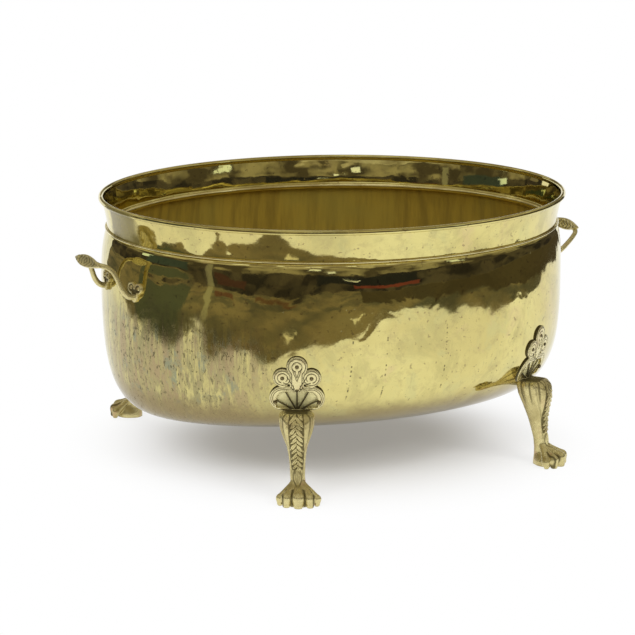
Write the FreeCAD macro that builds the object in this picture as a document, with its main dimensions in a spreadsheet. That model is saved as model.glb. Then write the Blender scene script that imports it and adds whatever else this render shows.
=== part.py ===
import FreeCAD, Part
import math
import os

# Oval brass planter pot on four cast paw feet, with two cast handles.
# Millimetres.  +Z is up and +X runs along the rim's length.  The origin lies on the
# floor, under the middle of the pot.

SIZES = {
    # plan of the rim, over its rolled edge
    "rim_length": 461,
    "side_narrowing": 59,        # the rim is this much narrower than it is long
    # heights, one above the other
    "floor_gap": 51,             # floor to the bowl's underside
    "corner_height": 110,        # bowl's underside to its fullest part
    "shoulder_height": 56,       # fullest part to the neck's foot
    "neck_height": 31,           # neck's foot to the top of the rim
    # bowl, raised from sheet brass
    "sheet_gauge": 1.2,
    "belly_inset": 2.2,          # rim's edge to the bowl's fullest part
    "end_inset": 38.5,           # how far the lower corner draws in at the two ends
    "flank_inset": 107,          # and how far at the two long sides
    "corner_power": 2.77,        # squareness of the lower corner: 2 is a quarter oval
    "shoulder_inset": 7.1,       # how far the shoulder draws in
    "shoulder_power": 2.2,
    "collar_height": 7,          # upright collar of the bowl, inside the neck
    "seam_play": 0.1,            # solder gap between the collar and the neck
    # neck, rim and the two soldered wires
    "flare_power": 1.6,
    "wire_radius": 1.2,
    "wire_play": 0.05,
    "bead_radius": 1.0,
    "ring_radius": 2.5,
    "ring_stand": 0.8,           # collar's inner skin to the middle of the throat ring
    # cast crest of a leg, measured up from the crest's foot
    "leg_angle": 31.5,           # a leg's direction, turned from the flank to the end
    "crest_lift": 31.2,           # bowl's underside to the crest's foot
    "crest_thickness": 3,
    "top_lobe_rise": 42,
    "top_lobe_radius": 9.3,
    "side_lobe_rise": 31,
    "side_lobe_offset": 13,
    "side_lobe_radius": 8.7,
    "fan_rise": 11,
    "fan_offset": 12.5,
    "fan_radius": 12,
    "fan_frame": 6.2,            # width of the frame round the open fan
    "waist_width": 12,
    "rib_width": 1.8,
    "rib_angle": 31,             # between neighbouring ribs
    # cast shin and paw
    "knee_width": 30.4,
    "calf_width": 20.2,
    "ankle_width": 12.6,
    "leg_flattening": 1.6,       # a leg is this much less deep than it is wide
    "paw_width": 40,
    "paw_reach": 29,             # leg's plane on the wall to the middle toe's tip
    "toe_height": 14,
    "toe_radius": 5.2,           # of the middle toe
    "end_toe_radius": 3.4,
    # rivets
    "rivet_radius": 1.5,
    "head_radius": 2.0,
    "head_height": 0.6,
    "tail_radius": 2.7,
    "tail_play": 0.1,            # bowl's inner skin to the hammered end
    "tail_height": 1.1,
    # cast handles
    "handle_drop": 40,           # neck's foot to the middle of a handle's feet
    "handle_spread": 60,         # between the middles of the feet
    "handle_overhang": 40,       # bowl's fullest part to the outside of a grip
    "left_tilt": 35,             # rise of the left handle above the level
    "right_tilt": 24,
    "left_bow": 4,               # how far the left arms arch above a straight line
    "right_bow": -3,
    "arm_radius": 2.4,
    "grip_length": 46,
    "grip_width": 14,
    "grip_thickness": 4.5,
    "grip_turn": 70,             # between a grip's width and its arms
    "pad_thickness": 2.4,
    "pad_lobe_radius": 5.4,
    "pad_tip_radius": 3.4,
}

doc = FreeCAD.newDocument("planter_pot")
sheet = doc.addObject("Spreadsheet::Sheet", "sizes")
for row, (alias, value) in enumerate(SIZES.items(), 1):
    sheet.set("A%d" % row, alias)
    sheet.set("B%d" % row, str(value))
    sheet.setAlias("B%d" % row, alias)
doc.recompute()


def size(alias):
    """A driving dimension, read back from the spreadsheet."""
    return float(sheet.get(alias))


def bound(kind, name, bindings):
    """A document object whose properties follow the spreadsheet."""
    item = doc.addObject(kind, name)
    for path, expression in bindings.items():
        item.setExpression(path, expression.replace("$", "sizes."))
    return item


def joined(kind, name, shapes):
    """A boolean of several objects: Part::MultiFuse or Part::MultiCommon."""
    item = doc.addObject(kind, name)
    item.Shapes = shapes
    return item


def without(name, base, tool):
    item = doc.addObject("Part::Cut", name)
    item.Base = base
    item.Tool = tool
    return item


def loft(name, sections):
    item = doc.addObject("Part::Loft", name)
    item.Sections = sections
    item.Solid = True
    return item


# ------------------------------------------------------------------------- the bowl
BELLY_LEVEL = "$floor_gap + $corner_height"
THROAT_LEVEL = BELLY_LEVEL + " + $shoulder_height"
RIM_LEVEL = THROAT_LEVEL + " + $neck_height"
THROAT_INSET = "$belly_inset + $shoulder_inset"
CORNER_STEPS = 8
SHOULDER_STEPS = 6

belly_level = size("floor_gap") + size("corner_height")
throat_level = belly_level + size("shoulder_height")
crest_foot = size("floor_gap") + size("crest_lift")


def oval(name, end_inset, flank_inset, level):
    """A level oval, drawn in from the rim's edge at its ends and at its flanks."""
    return bound("Part::Ellipse", name, {
        "MajorRadius": "$rim_length / 2 - (%s)" % end_inset,
        "MinorRadius": "($rim_length - $side_narrowing) / 2 - (%s)" % flank_inset,
        "Placement.Base.z": level,
    })


def even_oval(name, inset, level):
    return oval(name, inset, inset, level)


def bowl_form(name, growth):
    """The bowl's form as a solid, grown outward from its outer skin.

    Below its fullest part and above it, the outline is a quarter of a power oval.
    """
    sections = []
    for step in range(CORNER_STEPS, 0, -1):
        turn = 90.0 * step / CORNER_STEPS
        run = "cos(%s deg) ^ (2 / $corner_power)" % turn if turn < 90 else "0"
        rise = "sin(%s deg) ^ (2 / $corner_power)" % turn
        inset = "$belly_inset + {0} - ({0} + %s) * %s" % (growth, run)
        level = "%s - ($corner_height + %s) * %s" % (BELLY_LEVEL, growth, rise)
        sections.append(oval("%s_low_%d" % (name, step), inset.format("$end_inset"),
                             inset.format("$flank_inset"), level))
    for step in range(SHOULDER_STEPS + 1):
        turn = 90.0 * step / SHOULDER_STEPS
        run = "cos(%s deg) ^ (2 / $shoulder_power)" % turn if turn < 90 else "0"
        rise = "sin(%s deg) ^ (2 / $shoulder_power)" % turn if turn > 0 else "0"
        inset = "%s - ($shoulder_inset + %s) * %s" % (THROAT_INSET, growth, run)
        level = "%s + ($shoulder_height + %s) * %s" % (BELLY_LEVEL, growth, rise)
        sections.append(even_oval("%s_high_%d" % (name, step), inset, level))
    return loft(name, sections)


def upright(name, inset, foot, height):
    """An oval standing solid between two levels."""
    item = doc.addObject("Part::Extrusion", name)
    item.Base = even_oval(name + "_plan", inset, foot)
    item.DirMode = "Custom"
    item.Dir = FreeCAD.Vector(0, 0, 1)
    item.Solid = True
    item.setExpression("LengthFwd", height.replace("$", "sizes."))
    return item


def round_wire(name, radius, inset, level):
    """A round section carried round an oval path."""
    path = even_oval(name + "_path", inset, level)
    section = bound("Part::Circle", name + "_section", {
        "Radius": radius,
        "Placement.Base.x": "$rim_length / 2 - (%s)" % inset,
        "Placement.Base.z": level,
    })
    section.Placement.Rotation = FreeCAD.Rotation(FreeCAD.Vector(1, 0, 0), 90)
    item = doc.addObject("Part::Sweep", name)
    item.Sections = [section]
    item.Spine = (path, ["Edge1"])
    item.Solid = True
    item.Frenet = True
    return item


bowl_skin = bowl_form("bowl_skin", "0")
bowl_hollow = bowl_form("bowl_hollow", "-$sheet_gauge")
collar = upright("collar", THROAT_INSET, THROAT_LEVEL + " - $sheet_gauge",
                 "$collar_height + $sheet_gauge")
mouth = upright("mouth", THROAT_INSET + " + $sheet_gauge",
                THROAT_LEVEL + " - $sheet_gauge - $collar_height", "3 * $collar_height")
bowl_blank = joined("Part::MultiFuse", "bowl_blank", [bowl_skin, collar])
bowl_inside = joined("Part::MultiFuse", "bowl_inside", [bowl_hollow, mouth])
bowl_shell = without("bowl_shell", bowl_blank, bowl_inside)


# ------------------------------------------------------------------ the neck and rim
NECK_STEPS = 4
ROLL_RADIUS = "($wire_radius + $wire_play + $sheet_gauge)"
ROLL_LEVEL = RIM_LEVEL + " - " + ROLL_RADIUS
NECK_FOOT_INSET = "(%s - $seam_play - $sheet_gauge)" % THROAT_INSET
NECK_TOP_INSET = "(1.2 * %s)" % ROLL_RADIUS
NECK_TOP_LEVEL = "%s - 0.65 * %s" % (ROLL_LEVEL, ROLL_RADIUS)


def neck_form(name, growth):
    sections = []
    for step in range(NECK_STEPS + 1):
        share = step / NECK_STEPS
        flare = "%s ^ $flare_power" % share if share > 0 else "0"
        inset = "%s + (%s - %s) * %s - (%s)" % (
            NECK_FOOT_INSET, NECK_TOP_INSET, NECK_FOOT_INSET, flare, growth)
        level = "%s + (%s - (%s)) * %s" % (THROAT_LEVEL, NECK_TOP_LEVEL, THROAT_LEVEL,
                                           share)
        sections.append(even_oval("%s_%d" % (name, step), inset, level))
    return loft(name, sections)


neck_sheet = without("neck_sheet", neck_form("neck_skin", "0"),
                     neck_form("neck_hollow", "-$sheet_gauge"))
rim_roll = without("rim_roll", round_wire("roll_skin", ROLL_RADIUS, ROLL_RADIUS, ROLL_LEVEL),
                   round_wire("roll_bore", "$wire_radius + $wire_play", ROLL_RADIUS,
                              ROLL_LEVEL))
neck_band = joined("Part::MultiFuse", "neck_band", [neck_sheet, rim_roll])
rim_wire = round_wire("rim_wire", "$wire_radius", ROLL_RADIUS, ROLL_LEVEL)
neck_bead = round_wire("neck_bead", "$bead_radius",
                       NECK_FOOT_INSET + " - $bead_radius - $seam_play",
                       THROAT_LEVEL + " + $bead_radius / 2")
ring_round = round_wire("ring_round", "$ring_radius",
                        THROAT_INSET + " + $sheet_gauge + $ring_stand", THROAT_LEVEL)
throat_ring = joined("Part::MultiCommon", "throat_ring", [ring_round, mouth])


# ------------------------------------------------------------- places on the bowl's wall
def wall_axes(level):
    """Half length and half width of the bowl's outer skin at a level."""
    end = size("rim_length") / 2 - size("belly_inset")
    flank = end - size("side_narrowing") / 2
    if level < belly_level:
        power = size("corner_power")
        drop = (belly_level - level) / size("corner_height")
        share = 1 - (1 - drop ** power) ** (1 / power)
        return end - size("end_inset") * share, flank - size("flank_inset") * share
    power = size("shoulder_power")
    climb = (level - belly_level) / size("shoulder_height")
    share = 1 - (1 - climb ** power) ** (1 / power)
    inset = size("shoulder_inset") * share
    return end - inset, flank - inset


def wall_miss(point):
    """Zero on the bowl's outer skin, above zero outside it."""
    half_length, half_width = wall_axes(point.z)
    return (point.x / half_length) ** 2 + (point.y / half_width) ** 2 - 1


def wall_square(point):
    """Unit vector square to the bowl's outer skin."""
    step = 0.01
    slopes = []
    for axis in (FreeCAD.Vector(1, 0, 0), FreeCAD.Vector(0, 1, 0), FreeCAD.Vector(0, 0, 1)):
        slopes.append(wall_miss(point + axis * step) - wall_miss(point - axis * step))
    return FreeCAD.Vector(*slopes).normalize()


def wall_point(start, direction):
    """Where a level line from a point near the skin meets the skin."""
    near, far = -120.0, 120.0
    for _ in range(60):
        middle = (near + far) / 2
        if wall_miss(start + direction * middle) > 0:
            far = middle
        else:
            near = middle
    return start + direction * middle


def frame_of(origin, across, up, out):
    """A placement from three square axes."""
    return FreeCAD.Placement(FreeCAD.Matrix(
        across.x, up.x, out.x, origin.x,
        across.y, up.y, out.y, origin.y,
        across.z, up.z, out.z, origin.z,
        0, 0, 0, 1))


def placed(item, frame, across, up, out, rotation=FreeCAD.Rotation()):
    """Puts an object at a place in a frame: across, up and out of the wall."""
    item.Placement = frame.multiply(
        FreeCAD.Placement(FreeCAD.Vector(across, up, out), rotation))
    return item


# ------------------------------------------------------------------------- a cast leg
# A leg's frame stands on the floor under the wall: x across it, y up, z out of the wall.
UP = FreeCAD.Vector(0, 0, 1)
lean = math.radians(size("leg_angle"))
leg_out = FreeCAD.Vector(-math.sin(lean), -math.cos(lean), 0)
leg_across = UP.cross(leg_out)
belly_length, belly_width = wall_axes(belly_level)
reach = math.hypot(belly_length * leg_out.x, belly_width * leg_out.y)
leg_foot = FreeCAD.Vector(belly_length ** 2 * leg_out.x / reach,
                          belly_width ** 2 * leg_out.y / reach, 0)
leg_frame = frame_of(leg_foot, leg_across, UP, leg_out)

CREST_DEPTH = 60      # how far the crest's outline is pushed through the wall
CREST_FRONT = 20
FLAT_TURN = FreeCAD.Rotation(FreeCAD.Vector(1, 0, 0), 90)


def disc(name, frame, radius, across, level):
    """A round bar through the wall."""
    item = bound("Part::Cylinder", name, {"Radius": radius})
    item.Height = CREST_DEPTH
    return placed(item, frame, across, level, CREST_FRONT - CREST_DEPTH)


def bar(name, frame, width, height, across, level, angle=0.0):
    """A square bar through the wall, standing on a place and turned round it."""
    item = bound("Part::Box", name, {"Length": width, "Width": height})
    item.Height = CREST_DEPTH
    doc.recompute()
    turn = FreeCAD.Rotation(FreeCAD.Vector(0, 0, 1), angle)
    corner = turn.multVec(FreeCAD.Vector(-item.Length.Value / 2, 0, 0))
    return placed(item, frame, across + corner.x, level + corner.y,
                  CREST_FRONT - CREST_DEPTH, turn)


def crest():
    """The pierced palmette plate that follows the bowl's wall."""
    fan_level = crest_foot + size("fan_rise")
    lobes = [
        disc("top_lobe", leg_frame, "$top_lobe_radius", 0,
             crest_foot + size("top_lobe_rise")),
        bar("waist", leg_frame, "$waist_width", "$top_lobe_rise - $fan_rise", 0, fan_level),
        bar("fan_back", leg_frame, "2 * $fan_offset", "$fan_radius - 1", 0, fan_level),
        bar("fan_middle", leg_frame, "2 * $fan_offset", "$fan_rise", 0, crest_foot),
        bar("fan_sill", leg_frame, "2 * $fan_offset", "$fan_frame", 0,
            crest_foot - size("fan_frame") / 2),
    ]
    openings = [bar("fan_gap", leg_frame, "2 * $fan_offset",
                    "$fan_rise + $fan_radius - $fan_frame - $rib_width", 0,
                    crest_foot + size("rib_width"))]
    for side in (-1, 1):
        hand = "left" if side < 0 else "right"
        lobes.append(disc("lobe_" + hand, leg_frame, "$side_lobe_radius",
                          side * size("side_lobe_offset"),
                          crest_foot + size("side_lobe_rise")))
        lobes.append(disc("fan_" + hand, leg_frame, "$fan_radius",
                          side * size("fan_offset"), fan_level))
        openings.append(disc("gap_" + hand, leg_frame, "$fan_radius - $fan_frame",
                             side * size("fan_offset"), fan_level))
    ribs = []
    for place in range(-2, 3):
        ribs.append(bar("rib_%d" % (place + 3), leg_frame, "$rib_width",
                        "$fan_rise + $fan_offset - abs(%d) * $rib_width" % place,
                        0, crest_foot, -place * size("rib_angle")))
    frame_plate = without("crest_frame", joined("Part::MultiFuse", "crest_lobes", lobes),
                          joined("Part::MultiFuse", "crest_openings", openings))
    plate = joined("Part::MultiFuse", "crest_plate", [frame_plate] + ribs)
    return joined("Part::MultiCommon", "crest",
                  [plate, bowl_form("crest_skin", "$crest_thickness")])


def shin():
    """Knee, calf and ankle, one level oval above the other."""
    # share of the crest's foot level, distance out of the wall, width
    stations = [
        (1.00, -11.0, "0.70 * $knee_width"),
        (0.95, -9.0, "0.92 * $knee_width"),
        (0.88, -6.5, "$knee_width"),
        (0.78, -4.5, "0.94 * $knee_width"),
        (0.63, -1.2, "$calf_width"),
        (0.45, 1.6, "0.4 * $calf_width + 0.45 * $ankle_width"),
        (0.31, 3.4, "$ankle_width"),
        (0.18, 5.4, "1.05 * $ankle_width"),
        (0.05, 8.5, "1.3 * $ankle_width"),
    ]
    sections = []
    for number, (share, out, width) in enumerate(stations):
        section = bound("Part::Ellipse", "shin_%d" % number, {
            "MajorRadius": "(%s) / 2" % width,
            "MinorRadius": "(%s - $leg_flattening) / 2" % width,
        })
        sections.append(placed(section, leg_frame, 0, share * crest_foot, out, FLAT_TURN))
    return loft("shin", sections)


def paw():
    """Five toes in a fan, and the ball of the foot behind them."""
    ball = bound("Part::Ellipsoid", "paw_ball", {
        "Radius1": "0.45 * $paw_reach",
        "Radius2": "0.35 * $paw_width",
        "Radius3": "0.85 * $toe_height",
    })
    pieces = [placed(ball, leg_frame, 0, 0.35 * size("toe_height"),
                     0.42 * size("paw_reach"))]
    spread = size("paw_width") / 2 - size("end_toe_radius")
    for place in range(-2, 3):
        turn = math.radians(45 * place)
        toe = bound("Part::Ellipsoid", "toe_%d" % (place + 3), {
            "Radius1": "2 * $toe_radius",
            "Radius2": "$toe_radius - ($toe_radius - $end_toe_radius) * %s" % (place ** 2 / 4),
            "Radius3": "$toe_height * %s" % (0.54 - 0.05 * abs(place)),
        })
        doc.recompute()
        out = size("paw_reach") - 2 * size("toe_radius") - 7 * (1 - math.cos(turn))
        # an ellipsoid's seam stays inside the paw when it faces the middle toe
        inward = FreeCAD.Rotation(FreeCAD.Vector(0, 0, 1), 180 if place > 0 else 0)
        pieces.append(placed(toe, leg_frame, spread * math.sin(turn),
                             toe.Radius3.Value - 1, out, inward))
    return pieces


def rivet(name, start, out, plate):
    """A rivet through a casting and the bowl's sheet, hammered over inside.

    A bar for its hole in the sheet comes back too.
    """
    seat = wall_point(start, out)
    square = wall_square(seat)
    across = UP.cross(square).normalize()
    frame = frame_of(seat, across, square.cross(across), square)
    head = bound("Part::Cone", name + "_head", {
        "Radius1": "$head_radius", "Radius2": "0.6 * $head_radius",
        "Height": "2 * $head_height"})
    placed(head, frame, 0, 0, size(plate) - size("head_height"))
    depth = size("sheet_gauge") + size("tail_play")
    shank = bound("Part::Cylinder", name + "_shank", {
        "Radius": "$rivet_radius", "Height": "$sheet_gauge + $tail_play + $" + plate})
    placed(shank, frame, 0, 0, -depth)
    tail = bound("Part::Cone", name + "_tail", {
        "Radius1": "0.7 * $tail_radius", "Radius2": "$tail_radius",
        "Height": "$tail_height"})
    placed(tail, frame, 0, 0, -depth - size("tail_height"))
    hole = bound("Part::Cylinder", name + "_hole", {
        "Radius": "$rivet_radius", "Height": "3 * $sheet_gauge"})
    placed(hole, frame, 0, 0, -2 * size("sheet_gauge"))
    return joined("Part::MultiFuse", name, [head, shank, tail]), hole


def group(name, members):
    item = doc.addObject("Part::Compound", name)
    item.Links = members
    return item


def mirrored(name, source, normal):
    item = doc.addObject("Part::Mirroring", name)
    item.Source = source
    item.Normal = normal
    return item


def four_of(stem, front_left):
    """The front left piece, and its mirror images at the other three corners."""
    end_wise, flank_wise = FreeCAD.Vector(1, 0, 0), FreeCAD.Vector(0, 1, 0)
    front_right = mirrored(stem + "_front_right", front_left, end_wise)
    return [front_left, front_right,
            mirrored(stem + "_back_left", front_left, flank_wise),
            mirrored(stem + "_back_right", front_right, flank_wise)]

rivet_places = [(0, size("top_lobe_rise"))]
for side in (-1, 1):
    rivet_places.append((side * size("side_lobe_offset"), size("side_lobe_rise")))
    rivet_places.append((side * (size("fan_offset") + size("fan_radius") - size("fan_frame") / 2
                                 - size("rib_width")), size("fan_rise") - 2 * size("rib_width")))
leg_rivets, leg_holes = [], []
for number, (across, rise) in enumerate(rivet_places, 1):
    start = leg_frame.multVec(FreeCAD.Vector(across, crest_foot + rise, 0))
    whole, hole = rivet("leg_rivet_%d" % number, start, leg_out, "crest_thickness")
    leg_rivets.append(whole)
    leg_holes.append(hole)
rivets_front_left = group("leg_rivets_front_left", leg_rivets)

floor_block = bound("Part::Box", "floor_block", {
    "Length": "$rim_length", "Width": "$rim_length", "Height": "$toe_height"})
floor_block.Placement.Base = FreeCAD.Vector(
    -size("rim_length") / 2, -size("rim_length") / 2, -size("toe_height"))
leg_blank = joined("Part::MultiFuse", "leg_blank", [crest(), shin()] + paw())
leg_seated = without("leg_seated", leg_blank, bowl_form("leg_seat", "0"))
leg_standing = without("leg_standing", leg_seated, floor_block)
leg_front_left = without("leg_front_left", leg_standing, rivets_front_left)

legs = four_of("leg", leg_front_left)
rivets = four_of("leg_rivets", rivets_front_left)
holes = four_of("leg_holes", group("leg_holes_front_left", leg_holes))


# ------------------------------------------------------------------------- the handles
# shares of half the spread and of the reach, from a foot to the middle of the grip
ARM_PLACES = [(1.0, 0.0), (0.99, 0.35), (0.93, 0.70), (0.76, 0.93), (0.40, 1.0)]


def handle(hand, side):
    """A cast leaf grip on two arms, riveted on at two leaf-shaped feet."""
    level = throat_level - size("handle_drop")
    out = FreeCAD.Vector(side, 0, 0)
    across = UP.cross(out)
    wall = frame_of(FreeCAD.Vector(side * belly_length, 0, 0), across, UP, out)
    rise = math.radians(size(hand + "_tilt"))
    stand = rise + math.radians(size("grip_turn"))
    grip_share = math.hypot(size("grip_width") / 2 * math.cos(stand),
                            size("grip_thickness") / 2 * math.sin(stand))
    grip_reach = (size("handle_overhang") - grip_share) / math.cos(rise)
    reach_way = out * math.cos(rise) + UP * math.sin(rise)
    loop = frame_of(FreeCAD.Vector(side * belly_length, 0, level - size("pad_lobe_radius")),
                    across, reach_way, across.cross(reach_way))

    pads, rivet_list, hole_list = [], [], []
    for end in (-1, 1):
        middle = end * size("handle_spread") / 2
        name = "%s_pad_%s" % (hand, "near" if end < 0 else "far")
        lobe = size("pad_lobe_radius")
        for lean_side in (-1, 1):
            pads.append(disc("%s_lobe_%d" % (name, lean_side + 2), wall, "$pad_lobe_radius",
                             middle + lean_side * lobe, level + lobe / 2))
            start = wall.multVec(FreeCAD.Vector(middle + lean_side * lobe, level + lobe / 2, 0))
            whole, hole = rivet("%s_rivet_%d" % (name, lean_side + 2), start, out,
                                 "pad_thickness")
            rivet_list.append(whole)
            hole_list.append(hole)
        pads.append(disc(name + "_tip", wall, "$pad_tip_radius", middle, level - 1.3 * lobe))
        pads.append(bar(name + "_leaf", wall, "2 * $pad_tip_radius", "2 * $pad_lobe_radius",
                        middle, level - 1.3 * lobe))
    pad_layer = joined("Part::MultiCommon", hand + "_pads",
                       [joined("Part::MultiFuse", hand + "_pad_outline", pads),
                        bowl_form(hand + "_pad_skin", "$pad_thickness")])

    points = []
    near_arm = [(-run, climb) for run, climb in ARM_PLACES]
    for run, climb in near_arm + [(0, 1.0)] + ARM_PLACES[::-1]:
        points.append(loop.multVec(FreeCAD.Vector(
            run * size("handle_spread") / 2, climb * grip_reach,
            -size(hand + "_bow") * math.sin(math.pi * climb ** 2))))
    into_wall = reach_way * -3 * size("arm_radius")
    points = [points[0] + into_wall] + points + [points[-1] + into_wall]
    curve = Part.BSplineCurve()
    curve.interpolate(points)
    path = doc.addObject("Part::Feature", hand + "_arm_path")
    path.Shape = curve.toShape()
    section = bound("Part::Circle", hand + "_arm_section", {"Radius": "$arm_radius"})
    section.Placement = FreeCAD.Placement(
        points[0], FreeCAD.Rotation(FreeCAD.Vector(0, 0, 1), reach_way))
    arm = doc.addObject("Part::Sweep", hand + "_arm")
    arm.Sections = [section]
    arm.Spine = (path, ["Edge1"])
    arm.Solid = True
    arm.Frenet = False
    grip = bound("Part::Ellipsoid", hand + "_grip", {
        "Radius1": "$grip_thickness / 2", "Radius2": "$grip_length / 2",
        "Radius3": "$grip_width / 2"})
    placed(grip, loop, 0, grip_reach, 0,
           FreeCAD.Rotation(FreeCAD.Vector(1, 0, 0), -size("grip_turn")))

    rivets_here = group("handle_rivets_" + hand, rivet_list)
    blank = joined("Part::MultiFuse", hand + "_handle_blank", [pad_layer, arm, grip])
    seated = without(hand + "_handle_seated", blank, bowl_form(hand + "_handle_seat", "0"))
    holes.append(group(hand + "_handle_holes", hole_list))
    return without("handle_" + hand, seated, rivets_here), rivets_here


handle_left, rivets_left = handle("left", -1)
handle_right, rivets_right = handle("right", 1)
bowl = without("bowl", bowl_shell, group("rivet_holes", holes))


# ---------------------------------------------------------------- check and write out
nodes = [bowl, neck_band, rim_wire, neck_bead, throat_ring]
nodes += legs + rivets + [handle_left, handle_right, rivets_left, rivets_right]
for node in nodes:
    node.Label = node.Name
doc.recompute()
for item in doc.Objects:
    if any(word in ("Invalid", "Error") for word in item.State):
        raise RuntimeError("%s is not sound: %s" % (item.Label, item.State))
os.makedirs("parts", exist_ok=True)
for node in nodes:
    if node.Shape.isNull() or not node.Shape.isValid():
        raise RuntimeError("%s has no sound shape" % node.Label)
    node.Shape.exportStep("parts/%s.step" % node.Label)
    print(node.Label, len(node.Shape.Solids), round(node.Shape.Volume))
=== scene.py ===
import math

import bpy
import numpy as np
import openvdb
from mathutils import Matrix, Vector


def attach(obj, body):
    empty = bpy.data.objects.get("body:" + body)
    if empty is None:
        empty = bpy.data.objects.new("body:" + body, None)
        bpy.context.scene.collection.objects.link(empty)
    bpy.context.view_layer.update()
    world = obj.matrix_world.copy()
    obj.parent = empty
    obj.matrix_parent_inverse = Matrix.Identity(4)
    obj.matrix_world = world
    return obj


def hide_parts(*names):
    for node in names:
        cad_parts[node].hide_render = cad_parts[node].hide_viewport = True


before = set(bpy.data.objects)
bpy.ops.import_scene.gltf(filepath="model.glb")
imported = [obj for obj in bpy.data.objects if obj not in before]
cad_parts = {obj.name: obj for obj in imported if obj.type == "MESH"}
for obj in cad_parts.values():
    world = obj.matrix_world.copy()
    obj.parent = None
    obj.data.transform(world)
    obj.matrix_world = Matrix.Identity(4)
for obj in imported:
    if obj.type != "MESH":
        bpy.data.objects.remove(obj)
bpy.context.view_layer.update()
MM = 0.001

# ------------------------------------------------------------ sizes, as in the CAD source
RIM_LENGTH, SIDE_NARROWING = 461.0, 59.0
FLOOR_GAP, CORNER_HEIGHT, SHOULDER_HEIGHT, NECK_HEIGHT = 51.0, 110.0, 56.0, 31.0
GAUGE, BELLY_INSET, END_INSET, FLANK_INSET = 1.2, 2.2, 38.5, 107.0
CORNER_POWER, SHOULDER_INSET, SHOULDER_POWER = 2.77, 7.1, 2.2
RIM_WIRE_RADIUS, ROLL_GAP, SEAM_GAP = 1.2, 0.05, 0.1
BEAD_RADIUS, BEAD_RISE = 1.0, 0.5
RING_RADIUS, RING_STAND = 2.5, 0.8
ROLL_RADIUS = RIM_WIRE_RADIUS + ROLL_GAP + GAUGE
BELLY = FLOOR_GAP + CORNER_HEIGHT
THROAT = BELLY + SHOULDER_HEIGHT
RIM = THROAT + NECK_HEIGHT
HALF_LONG = RIM_LENGTH / 2
HALF_WIDE = (RIM_LENGTH - SIDE_NARROWING) / 2
THROAT_INSET = BELLY_INSET + SHOULDER_INSET
NECK_FOOT = THROAT_INSET - SEAM_GAP - GAUGE
LEG_ANGLE = math.radians(31.5)
CREST_FOOT = FLOOR_GAP + 31.2
KNEE_TOP = CREST_FOOT - 0.8
PAD_LEVEL, PAD_ACROSS = 176.4, 30.0


# ---------------------------------------------------------------------- mesh helpers
def mesh_object(name, points, faces):
    """A smooth piece from faces and points in millimetres."""
    mesh = bpy.data.meshes.new(name)
    mesh.from_pydata((np.asarray(points) * MM).tolist(), [], [list(map(int, f)) for f in faces])
    mesh.validate()
    mesh.shade_smooth()
    piece = bpy.data.objects.new(name, mesh)
    bpy.context.scene.collection.objects.link(piece)
    return piece


def set_share(piece, name, values):
    """Stores one number per point for the material to read."""
    attribute = piece.data.attributes.new(name, "FLOAT", "POINT")
    attribute.data.foreach_set("value", np.asarray(values, np.float32))


def skin_faces(rows, closed=True):
    """Quads between rows of AROUND points, also from the last row to the first if closed."""
    row = np.arange(rows - 1)[:, None] * AROUND
    here = np.arange(AROUND)
    after = (here + 1) % AROUND
    quads = np.stack([row + here, row + after, row + AROUND + after, row + AROUND + here], -1)
    faces = quads.reshape(-1, 4).tolist()
    if closed:
        last = (rows - 1) * AROUND
        faces += np.stack([last + here, last + after, after, here], -1).tolist()
    return faces


def smooth_step(value, low, high):
    t = np.clip((value - low) / (high - low), 0, 1)
    return t * t * (3 - 2 * t)


def blend_min(a, b, k):
    h = np.clip(0.5 + 0.5 * (b - a) / k, 0, 1)
    return b + (a - b) * h - k * h * (1 - h)


def blend_max(a, b, k):
    return -blend_min(-a, -b, k)


def ripples(seed, count, low, high):
    """Soft random waves over a plane; wavelengths run from low to high millimetres."""
    rng = np.random.RandomState(seed)
    length = rng.uniform(low, high, count)
    turn = rng.uniform(0, 2 * np.pi, count)
    phase = rng.uniform(0, 2 * np.pi, count)

    def field(u, v):
        total = np.zeros(np.broadcast(u, v).shape)
        for size, angle, start in zip(length, turn, phase):
            total += np.sin(2 * np.pi * (u * math.cos(angle) + v * math.sin(angle)) / size
                            + start)
        return total / math.sqrt(count)
    return field


# -------------------------------------------------------------------- the bowl's wall
AROUND, CORNER_ROWS, SHOULDER_ROWS = 900, 200, 90
OUTER_SPACING, INNER_SPACING = 1.8, 2.6
ROUND = np.linspace(0, 2 * np.pi, AROUND, endpoint=False)
MEAN_RADIUS = 215.0


def wall_axes(level):
    """Half length and half width of the bowl's outer skin at a level."""
    level = np.asarray(level, float)
    drop = np.clip((BELLY - level) / CORNER_HEIGHT, 0, 0.99999)
    low = 1 - (1 - drop ** CORNER_POWER) ** (1 / CORNER_POWER)
    climb = np.clip((level - BELLY) / SHOULDER_HEIGHT, 0, 1)
    high = 1 - (1 - np.minimum(climb, 0.9999) ** SHOULDER_POWER) ** (1 / SHOULDER_POWER)
    end = HALF_LONG - BELLY_INSET - END_INSET * low - SHOULDER_INSET * high
    flank = HALF_WIDE - BELLY_INSET - FLANK_INSET * low - SHOULDER_INSET * high
    return end, flank


def wall_distance(x, y, z):
    """How far a point lies outside the bowl's outer skin, near it."""
    a, b = wall_axes(z)
    a2, b2 = wall_axes(z + 0.5)
    size = np.sqrt((x / a) ** 2 + (y / b) ** 2)
    slope_x = x / a ** 2 / size
    slope_y = y / b ** 2 / size
    slope_z = -(x ** 2 / a ** 3 * (a2 - a) + y ** 2 / b ** 3 * (b2 - b)) * 2 / size
    return (size - 1) / np.sqrt(slope_x ** 2 + slope_y ** 2 + slope_z ** 2)


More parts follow.
